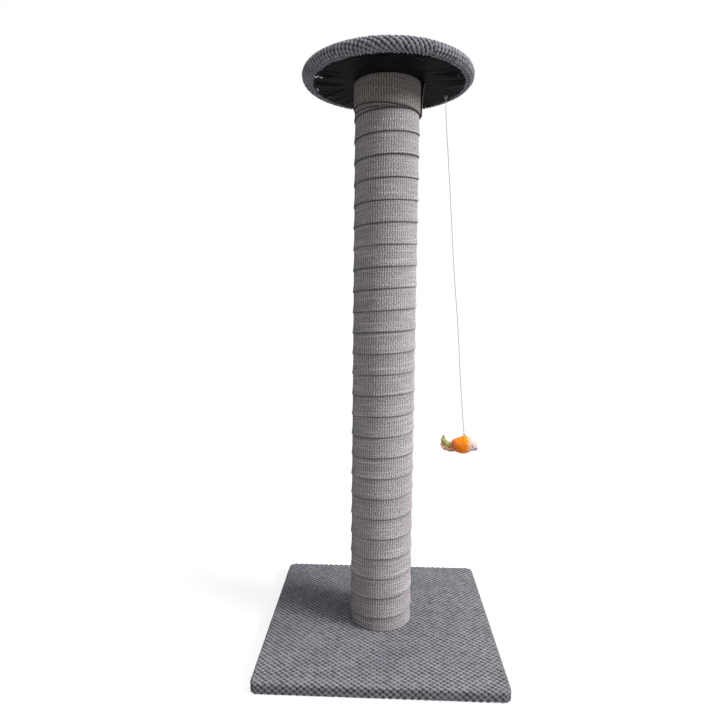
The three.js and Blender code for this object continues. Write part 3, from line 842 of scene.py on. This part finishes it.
# %% Felt
FELT_HALF, FELT_HOLE, FELT_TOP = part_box("base_lining")[1].x, 16 * MM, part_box("base_lining")[1].z
FELT_ROWS, FELT_COLUMNS = 48, 240


def felt_finish():
    finish = Finish("black felt", Roughness=0.98, Specular_IOR_Level=0.1)
    hairs = finish.noise(900, 4.0)
    mats = finish.noise(90, 3.0)
    colour = hairs.tint(0.3, 0.75, (24, 24, 26), (52, 52, 56))
    return finish.done(colour, mats * 0.1 + 0.88, hairs * 0.6 + mats * 0.4, 0.25 * MM)


def foot_felt():
    angles = all_round(FELT_COLUMNS)
    way = np.stack([np.cos(angles), np.sin(angles)], axis=1)
    square = FELT_HALF * way / np.abs(way).max(axis=1, keepdims=True)
    share = np.linspace(0, 1, FELT_ROWS)[:, None, None]
    x, y = np.moveaxis((1 - share) * FELT_HOLE * way + share * square, -1, 0)
    hills = np.sin(x / (17 * MM)) * np.sin(y / (23 * MM) + x / (40 * MM))
    points = np.concatenate([spots(x, y, 0.25 * MM * (1 - hills)), spots(x, y, FELT_TOP)[::-1]])
    faces = closed(2 * FELT_ROWS, FELT_COLUMNS)
    made = make_piece("foot_felt", points, faces, felt_finish(), "base_lining", sharp=40)


foot_felt()

# %% [markdown]
# ## The pad in the perch
# A disc of soft foam lies on the board and gives the perch its crowned top and round rim. It is seen only
# when the perch is taken apart, but it has the slight unevenness of cut foam.

# %% Pad
PAD_COLUMNS = 220
PAD_GAP = 2.95 * MM  # from the cover's outer face to the pad


def foam_finish():
    finish = Finish("foam", Roughness=0.95)
    cells = finish.node("ShaderNodeTexVoronoi", values={"Vector": finish.place(), "Scale": 900})
    colour = cells.tint(0.1, 0.6, (206, 198, 170), (236, 231, 212))
    return finish.done(colour, finish.noise(30) * 0.1 + 0.88, cells, 0.3 * MM)


def perch_pad():
    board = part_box("platform_board")[1]
    seat, wide = board.z + 0.3 * MM, board.x + 0.4 * MM
    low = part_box("platform_pad")[0].z
    outline = [(3 * MM, seat), (wide, seat), (wide, low + 0.5 * MM), (wide + 3 * MM, low)]
    swell = bend(RIM_RADIUS - PAD_GAP, 0, 138, 16, RIM_MIDDLE, rim_height)[::-1]
    top = [(r, perch_top(r) - PAD_GAP) for r in np.linspace(RIM_MIDDLE, 3 * MM, 24)]
    profile = np.array(outline + [(r, z) for r, z, _, _ in swell] + top)
    angles = all_round(PAD_COLUMNS)[None, :]
    uneven = 0.15 * MM * np.sin(5 * angles + profile[:, 1:] * 300) * (profile[:, :1] > 0.1)
    radii = profile[:, :1] - 0.15 * MM + uneven
    points = spots(radii * np.cos(angles), radii * np.sin(angles), profile[:, 1:])
    faces = closed(len(profile), PAD_COLUMNS)
    made = make_piece("perch_pad", points, faces, foam_finish(), "platform_pad", sharp=60)


perch_pad()

# %% [markdown]
# ## Thread loops and knots
# The string's upper end is tied in a loop round its staple, and its lower end is knotted on the toy's
# back. All are tubes. A tightly drawn overhand knot is, as a curve, a trefoil.

# %% Loop and knots
def merged(*parts):
    """Several (points, faces) as one."""
    points, faces = [], []
    for own_points, own_faces in parts:
        first = sum(len(p) for p in points)
        points.append(own_points)
        faces += [[first + i for i in face] for face in own_faces]
    return np.concatenate(points), faces


def overhand(middle, size, radius):
    """A knot of that half width round a point."""
    t = np.linspace(0, TURN, 72)
    lobes = spots(np.sin(t) + 2 * np.sin(2 * t), np.cos(t) - 2 * np.cos(2 * t), -1.4 * np.sin(3 * t))
    return tube(np.array(middle) + size / 3 * lobes, radius)


knot_thread = thread_finish("knot thread", (136, 112, 70), (78, 62, 44), (136, 112, 70), 0.9 * MM)
hang_low, hang_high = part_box("string_loop")
hang = (np.array(hang_low) + np.array(hang_high)) / 2
loop_radius = (hang_high.z - hang_low.z) / 2 - 0.5 * MM
t = np.linspace(-0.5 * math.pi + 0.25, 1.5 * math.pi - 0.25, 60)
loop_line = [hang + loop_radius * np.array([math.cos(a), 0, math.sin(a)]) for a in t]
loop_knot = overhand((hang[0], hang[1], hang_low.z + 0.3 * MM), 0.8 * MM, 0.4 * MM)
loop = merged(tube(loop_line, 0.42 * MM), loop_knot)
make_piece("thread_loop", *loop, string_thread, "string_loop")

knot_low, knot_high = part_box("toy_knot")
knot_middle = (np.array(knot_low) + np.array(knot_high)) / 2
TAIL_STEPS = np.array([(0, 0, -0.4), (1.6, 0.2, 0), (3, 0.4, -0.8), (4, 0.2, -1.9)]) * MM
knot_tail = smooth_line(knot_middle + TAIL_STEPS, 20)
knot = merged(overhand(knot_middle, 1.2 * MM, 0.5 * MM), tube(knot_tail, 0.4 * MM))
make_piece("toy_back_knot", *knot, knot_thread, "toy_knot")

# %% [markdown]
# ## Plush
# Each part of the toy is an oval tube that swells and tapers along a line, given by a few stations. Plush
# needs real hairs for its soft outline, so a few thousand tapered strands are planted on the skin. Each is
# a closed three-sided needle that starts under the skin and bends with the nap.

# %% Stuffed shapes and hairs
HAIR_SIDES = 3
plush_odds = np.random.default_rng(11)
toy_point = np.array([0.153, STRING_DEPTH, 0.36])


def stuffed(stations, steps, columns, lumps):
    """Points and faces of a stuffed shape. A station is (x, z, half height, half width), in mm."""
    rows = np.array([(x, 0, z, h, w) for x, z, h, w in stations]) * MM
    line = smooth_line(rows, steps)
    ahead = unit(np.gradient(line[:, :3], axis=0))
    up = spots(-ahead[:, 2], 0, ahead[:, 0])
    angles = all_round(columns)[None, :, None]
    sizes = np.maximum(line[:, 3:], 0.3 * MM)
    rise = sizes[:, :1, None] * np.sin(angles) * up[:, None, :]
    wide = sizes[:, 1:, None] * np.cos(angles) * np.array([0, 1, 0])
    points = line[:, None, :3] + rise + wide
    wave = np.sin(points[..., 0] / (3.1 * MM) + 3 * angles[..., 0]) * np.sin(points[..., 2] / (2.3 * MM))
    points = points + lumps * MM * wave[..., None] * (rise + wide) / (sizes.max() + 1e-9)
    rings = numbered(steps, columns)
    faces = joined(rings) + [rings[0][::-1].tolist(), rings[-1].tolist()]
    return points.reshape(-1, 3) + toy_point, faces


def hairs(points, faces, count, length, nap, bare=()):
    """Points, faces and shades of thin needles all over a skin, but for the bare places (centre, reach).
    nap is the way that they are brushed."""
    quads = np.array([face for face in faces if len(face) == 4])
    a, b, c, d = (points[quads[:, k]] for k in range(4))
    normals = np.cross(c - a, d - b)
    areas = np.linalg.norm(normals, axis=1)
    normals /= areas[:, None]
    for centre, reach in bare:
        areas = areas * (np.linalg.norm(a - centre, axis=1) > reach)
    picked = plush_odds.choice(len(quads), count, p=areas / areas.sum())
    s, t = plush_odds.random((2, count, 1))
    roots = (1 - t) * ((1 - s) * a[picked] + s * b[picked]) + t * ((1 - s) * d[picked] + s * c[picked])
    normal = normals[picked]
    way = normal + 0.55 * np.array(nap) + plush_odds.normal(0, 0.38, (count, 3))
    way = unit(way)
    long = length * MM * plush_odds.uniform(0.55, 1.15, (count, 1))
    wide = 0.16 * MM * plush_odds.uniform(0.7, 1.3, (count, 1))
    side = unit(np.cross(way, plush_odds.normal(0, 1, (count, 3))))
    other = np.cross(way, side)
    curl = way + plush_odds.normal(0, 0.3, (count, 3)) + 0.2 * np.array(nap)
    middle = roots + 0.55 * long * way
    tip = middle + 0.45 * long * curl
    needle = [
        centre + size * wide * (math.cos(turn) * side + math.sin(turn) * other)
        for centre, size in ((roots - 0.3 * MM * normal, 1.0), (middle, 0.75))
        for turn in all_round(HAIR_SIDES)
    ]
    own = np.stack(needle + [tip], axis=1)
    pattern = [[0, 2, 1]]
    for k in range(HAIR_SIDES):
        n = (k + 1) % HAIR_SIDES
        pattern += [[k, n, n + HAIR_SIDES, k + HAIR_SIDES], [k + HAIR_SIDES, n + HAIR_SIDES, 2 * HAIR_SIDES]]
    made = [[own.shape[1] * hair + i for i in face] for hair in range(count) for face in pattern]
    shades = np.tile([0, 0, 0, 0.6, 0.6, 0.6, 1.0], count)
    return own.reshape(-1, 3), made, shades


def plush(name, material, node, stations, rings, count, length, nap, lumps=0.6, bare=()):
    """A stuffed part of that many rings and places in a ring, with its hairs."""
    skin, skin_faces = stuffed(stations, *rings, lumps)
    hair, hair_faces, shades = hairs(skin, skin_faces, count, length, nap, bare)
    points, faces = merged((skin, skin_faces), (hair, hair_faces))
    shade = np.concatenate([np.full(len(skin), 0.15), shades])
    local = (points - toy_point) / MM
    carried = spots(local[:, 0], local[:, 2], shade)
    make_piece(name, points, faces, material, node, plush=carried)


# %% [markdown]
# ## The toy's colours
# The dye is uneven, so each plush is mottled, and hairs are paler at their tips. The head has one small
# red streak, the upper leaf a dark green tip, and the lower one a dusky violet edge.

# %% Plush finishes
def plush_finish(name, deep, full, tip, mottle=0.35):
    """A mottled plush, its colour, and the place on the toy, in mm from the knot."""
    finish = Finish(name, Roughness=0.92, Specular_IOR_Level=0.15)
    place = finish.carried("plush")
    split = finish.split(place)
    dyed = finish.noise(mottle, 3.0, place).tint(0.36, 0.66, deep, full)
    return finish, finish.mix(split.part("Z") * 0.55, dyed, tip), split


def finished(finish, colour):
    fluff = finish.noise(1500)
    return finish.done(colour, fluff * 0.1 + 0.85, fluff, 0.2 * MM)


def spot(split, middle, size):
    """1 in an oval spot of the plush, fading to 0 at its border."""
    x = (split - middle[0]) / size[0]
    z = (split.part("Y") - middle[1]) / size[1]
    return 1 - (x * x + z * z).between(0.3, 1.0)


orange, body_dye, on_body = plush_finish("orange plush", (212, 96, 8), (255, 152, 28), (255, 184, 90))
blushed = orange.mix(on_body.between(-24, -10), (232, 128, 88), body_dye)
orange_plush = finished(orange, orange.mix(on_body.between(4.5, 10.5) * 0.7, blushed, (236, 190, 150)))
white, head_dye, on_head = plush_finish("white plush", (188, 160, 156), (208, 192, 189), (214, 206, 203))
mouth = spot(on_head, (14.8, -21.8), (1.7, 3.0))
white_plush = finished(white, white.mix(mouth * 0.85, head_dye, (140, 60, 78)))
green, upper_dye, on_upper = plush_finish(
    "green plush", (118, 126, 64), (204, 194, 132), (222, 210, 160), 0.5
)
dark_tip = on_upper.part("Y").between(-9, -3)
green_plush = finished(green, green.mix(dark_tip * 0.7, upper_dye, (62, 84, 48)))
pink, lower_dye, on_lower = plush_finish(
    "pink plush", (196, 128, 110), (238, 182, 146), (242, 206, 176), 0.5
)
low_edge = 1 - on_lower.part("Y").between(-34, -29.5)
pink_plush = finished(pink, pink.mix(low_edge * 0.7, lower_dye, (110, 62, 74)))
print("plush colours for the body, head and the tail's two leaves")

# %% [markdown]
# ## The stuffed toy
# An orange drop-shaped body carries a white pointed head and a tail of two leaves that curl up and out.

# %% Toy
BODY_LINE = [
    (-23, -24, 2, 2), (-18.5, -22, 10.0, 8.6), (-11, -21.4, 13.6, 12.0), (-3, -21.1, 15.9, 13.7),
    (4, -20.4, 15.9, 13.7), (9.5, -20.4, 13.9, 12.3),
]
HEAD_LINE = [
    (9.3, -20.4, 13.5, 11.9), (12.5, -20.4, 12.9, 11.3), (16.5, -22.4, 11.3, 9.7),
    (21.3, -25.2, 7.3, 6.3), (25, -26.8, 3.9, 3.8), (27.3, -27.6, 0.9, 0.9),
]
UPPER_LEAF = [
    (-14, -24, 3.2, 2.2), (-23, -22, 4.2, 2.6), (-32, -19, 5.9, 2.8), (-38, -12.5, 4.8, 2.3),
    (-37.4, -3.2, 0.7, 0.8),
]
LOWER_LEAF = [
    (-13, -28, 4.2, 2.5), (-21, -29.5, 3.8, 2.9), (-29, -29.4, 3.8, 2.9), (-37, -26, 3.5, 2.5),
    (-43.4, -18.5, 0.8, 0.8),
]
BACKWARD, CURLED_UP, CURLED_OUT = (-0.7, 0, -0.35), (-0.5, 0, 0.5), (-0.6, 0, 0.3)
EYE_CLEAR = 4.3 * MM  # the plush is trimmed away round an eye
eye_boxes = [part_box(eye) for eye in ("toy_eye_near", "toy_eye_far")]
eyes = [(sum(np.array(corner) for corner in box) / 2, EYE_CLEAR) for box in eye_boxes]
plush("toy_orange_body", orange_plush, "toy_body", BODY_LINE, (30, 48), 3200, 1.9, BACKWARD)
plush("toy_white_head", white_plush, "toy_head", HEAD_LINE, (26, 40), 1700, 1.3, BACKWARD, 0.3, bare=eyes)
for name, material, node, stations, nap in (
    ("toy_green_leaf", green_plush, "toy_tail_upper", UPPER_LEAF, CURLED_UP),
    ("toy_pink_leaf", pink_plush, "toy_tail_lower", LOWER_LEAF, CURLED_OUT),
):
    plush(name, material, node, stations, (26, 24), 1100, 1.6, nap, lumps=1.0)

# %% [markdown]
# ## The toy's eyes
# Each eye is a glossy bead: a slightly flattened ring with a very small bore, turned from a rounded
# profile, and a stitch fills the bore. It sits on the stuffed skin, so that its round shape is seen.

# %% Eyes
def bead_finish():
    finish = Finish("black bead", Coat_Weight=0.6, Coat_Roughness=0.05)
    haze = finish.noise(700)
    return finish.done(haze.tint(0.4, 0.7, (12, 10, 14), (26, 22, 28)), haze * 0.12 + 0.08)


black_bead = bead_finish()
BEAD_BORE = 0.35 * MM
BEAD_OUT, BEAD_UP = 0.8 * MM, 0.5 * MM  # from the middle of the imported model's bead


def bead(name, node, outward):
    """A bead whose bore points out of the head, +1 or -1 in Y."""
    low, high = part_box(node)
    middle, radius = (np.array(low) + np.array(high)) / 2, (high.x - low.x) / 2
    middle += (0, outward * BEAD_OUT, BEAD_UP)
    turn = all_round(32)
    halves = np.linspace(0.12 * math.pi, 0.88 * math.pi, 18)
    profile = [(radius * math.sin(a), 0.86 * radius * math.cos(a)) for a in halves]
    profile += [(BEAD_BORE, -0.7 * radius), (BEAD_BORE, 0.7 * radius)]
    rings = [middle + spots(r * np.cos(turn), outward * h, r * np.sin(turn)) for r, h in profile]
    order = numbered(len(profile), len(turn))
    faces = joined((order + order[:1])[::outward])  # turned about for the far eye, to face outward
    stitch_line = [middle + np.array([0, outward * y * radius, 0]) for y in (-1, -0.3, 0.3, 0.72)]
    stitch = tube(smooth_line(stitch_line, 12), 0.32 * MM)
    bead_and_stitch = merged((np.concatenate(rings), faces), stitch)
    make_piece(name, *bead_and_stitch, black_bead, node)


bead("bead_eye_near", "toy_eye_near", -1)
bead("bead_eye_far", "toy_eye_far", 1)

# %% [markdown]
# ## Finishes of the hidden wood, card and steel
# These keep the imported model's shapes and only get a finish. Wood is a stretched noise with finer pores,
# particle board is coarse chips, card shows the spiral of its paper, and zinc has a cloudy roughness.

# %% Wood, card and metal
def wood_finish(name, light, dark, stretch, scale):
    finish = Finish(name)
    grain = finish.noise(scale, 5.0, stretch=stretch)
    pores = finish.noise(scale * 9, 2.0, stretch=stretch)
    colour = finish.mix(pores.between(0.58, 0.72) * 0.35, grain.tint(0.35, 0.68, dark, light), dark)
    return finish.done(colour, pores * 0.2 + 0.62, grain * 0.6 + pores * 0.4, 0.15 * MM)


def chip_finish():
    finish = Finish("particle board")
    flat_chips = finish.stretched(finish.place(), (1, 1, 3))
    chips = finish.node("ShaderNodeTexVoronoi", values={"Vector": flat_chips, "Scale": 260})
    tone = finish.noise(420, 3.0)
    colour = (chips * 0.6 + tone * 0.6).tint(0.3, 0.8, (206, 176, 132), (142, 108, 70))
    return finish.done(colour, tone * 0.15 + 0.75, chips, 0.2 * MM)


def card_finish():
    finish = Finish("cardboard")
    fibre = finish.noise(300, 3.0, stretch=(1, 1, 6))
    lap = finish.split(finish.place(), "Z").wave(90 * MM).between(0.96, 1.0)
    paper = fibre.tint(0.3, 0.7, (158, 126, 88), (190, 158, 116))
    return finish.done(finish.mix(lap * 0.5, paper, (120, 92, 62)), fibre * 0.1 + 0.8, fibre, 0.1 * MM)


def metal_finish(name, light, dark, metallic, rough):
    finish = Finish(name, Metallic=metallic)
    cloud = finish.noise(260, 4.0)
    scratches = finish.noise(900, 2.0, stretch=(1, 1, 12))
    colour = cloud.tint(0.35, 0.7, dark, light)
    return finish.done(colour, cloud * 0.2 + scratches * 0.1 + rough, scratches, 0.03 * MM)


node_finishes = {
    "particle_board": chip_finish(),
    "plywood": wood_finish("plywood", (214, 178, 128), (176, 134, 86), (1, 0.12, 3), 90),
    "plug_wood": wood_finish("softwood plug", (222, 190, 142), (184, 146, 98), (1, 1, 0.1), 140),
    "cardboard": card_finish(),
    "zinc_steel": metal_finish("zinc plated steel", (214, 216, 218), (176, 178, 182), 1.0, 0.2),
    "black_wire": metal_finish("dark wire", (52, 52, 54), (28, 28, 30), 0.6, 0.3),
}
dressed = [node for node, slot in slot_of.items() if slot in node_finishes]
for node in dressed:
    for material_slot in nodes[node].material_slots:
        material_slot.material = node_finishes[slot_of[node]]
print("finished", len(dressed), "nodes of the packed model")

# %% [markdown]
# ## Floor, light and background
# The photograph is a studio cutout. The post is bright at its right and dark at its left, and so is the
# foot. So a large key lamp stands at the right, somewhat to the front, a second one hangs high, and a weak
# white world fills the shadows. The floor is a disc that fades out, so it has no horizon and still catches
# the shadow. It is darker for the light that bounces off it than for the camera.

# %% Studio
WORLD_FILL = 0.5
KEY_PLACE, KEY_SIZE, KEY_LEVEL = (6.2, -2.4, 4.1), 2.4, 1.3
TOP_PLACE, TOP_SIZE, TOP_LEVEL = (0.75, -0.3, 3.9), 1.2, 0.7
AIM = (0.0, 0.0, 0.45)
FLOOR_RADIUS = 1.6
SEEN_WHITE = 1.0
SEEN_SHARE = 0.78  # of the floor's whiteness that is no light, but paint for the camera


def lamp(name, place, size, level, aim):
    """A square area lamp that points at a place, and lights white there to that level of brightness."""
    data = bpy.data.lights.new(name, "AREA")
    data.size = size
    data.energy = level * math.pi**2 * math.dist(place, aim) ** 2
    made = bpy.data.objects.new(name, data)
    bpy.context.scene.collection.objects.link(made)
    turned = (Vector(aim) - Vector(place)).to_track_quat("-Z", "Y").to_matrix().to_4x4()
    made.matrix_world = Matrix.Translation(place) @ turned


def seen(nodes):
    """1 for what the camera, a reflection or glass sees, and 0 for light that falls on things."""
    path = nodes.node("ShaderNodeLightPath", out="Is Camera Ray")
    return (path + path.part("Is Glossy Ray") + path.part("Is Transmission Ray")).between(0, 1)


def white_world():
    world = bpy.data.worlds.new("white studio")
    bpy.context.scene.world = world
    world.use_nodes = True
    sky = NodeTree(world.node_tree)
    backdrop = sky.tree.nodes["Background"]
    sky.feed(backdrop.inputs["Color"], (1, 1, 1, 1))
    sky.feed(backdrop.inputs["Strength"], seen(sky) * (SEEN_WHITE - WORLD_FILL) + WORLD_FILL)


def floor_disc():
    finish = Finish("pale floor", Roughness=0.95, Specular_IOR_Level=0.0)
    eye = seen(finish)
    finish.done(finish.mix(eye, (190, 190, 191), (252, 252, 252)))
    glow = finish.node("ShaderNodeEmission", values={"Color": (1, 1, 1, 1), "Strength": SEEN_WHITE})
    far = finish.node("ShaderNodeVectorMath", {"operation": "LENGTH"}, {0: finish.place()}, out="Value")
    gone = finish.node("ShaderNodeBsdfTransparent")
    surface = Shade(finish, finish.surface.outputs[0])
    lit = finish.node("ShaderNodeMixShader", values={0: eye * SEEN_SHARE, 1: surface, 2: glow})
    faded = finish.node("ShaderNodeMixShader", values={0: far.between(0.5, 1.3), 1: lit, 2: gone})
    finish.feed(finish.tree.nodes["Material Output"].inputs["Surface"], faded)
    angles = all_round(128)
    border = spots(FLOOR_RADIUS * np.cos(angles), FLOOR_RADIUS * np.sin(angles), -0.2 * MM)
    mesh = bpy.data.meshes.new("floor")
    mesh.from_pydata(border.tolist(), [], [list(range(len(border)))])
    mesh.materials.append(finish.material)
    made = bpy.data.objects.new("floor", mesh)
    bpy.context.scene.collection.objects.link(made)


white_world()
floor_disc()
lamp("key_lamp", KEY_PLACE, KEY_SIZE, KEY_LEVEL, AIM)
lamp("top_lamp", TOP_PLACE, TOP_SIZE, TOP_LEVEL, (0, 0, 0))
print("key lamp at level", KEY_LEVEL, "and top lamp at level", TOP_LEVEL)
bpy.context.scene.view_settings.view_transform = "Standard"
